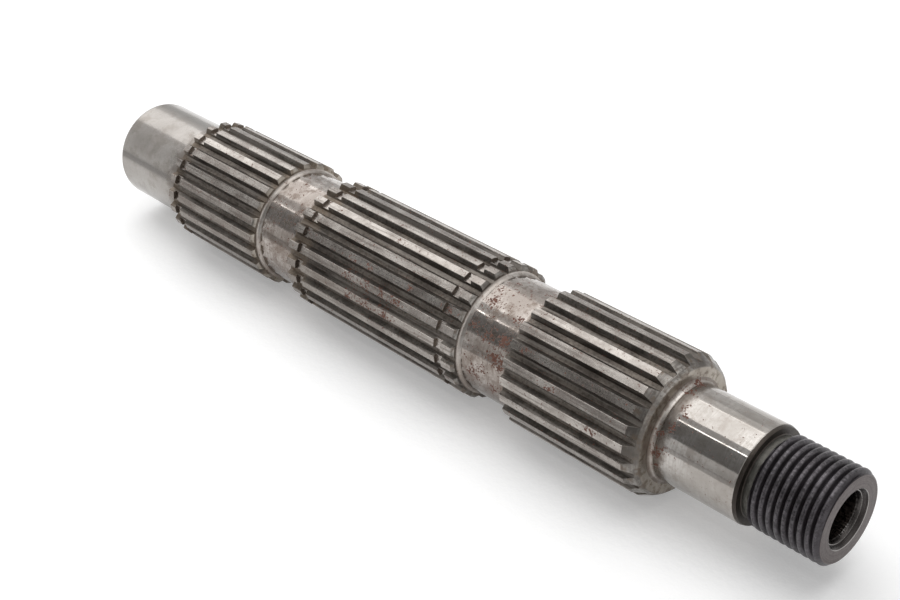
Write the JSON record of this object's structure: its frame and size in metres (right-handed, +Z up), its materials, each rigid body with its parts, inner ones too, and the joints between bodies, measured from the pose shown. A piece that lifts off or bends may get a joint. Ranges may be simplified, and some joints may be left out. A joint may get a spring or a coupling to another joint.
{
  "type": "transmission countershaft",
  "caption": "Solid turned shaft with three hobbed spline sections, ground journals, ring grooves and a threaded end with a stepped blind bore.",
  "frame": {"origin": "on the shaft's axis at half of the overall length", "axes": "+X along the shaft towards the threaded end, +Z up, with a spline slot straight down so that the shaft rests on two teeth"},
  "size_m": [0.258, 0.037, 0.0369],
  "materials": {
    "steel": "ground bright journals, darker hobbed splines with light rust, blackened thread"
  },
  "bodies": {
    "root": {"countershaft": "steel"}
  },
  "joints": []
}
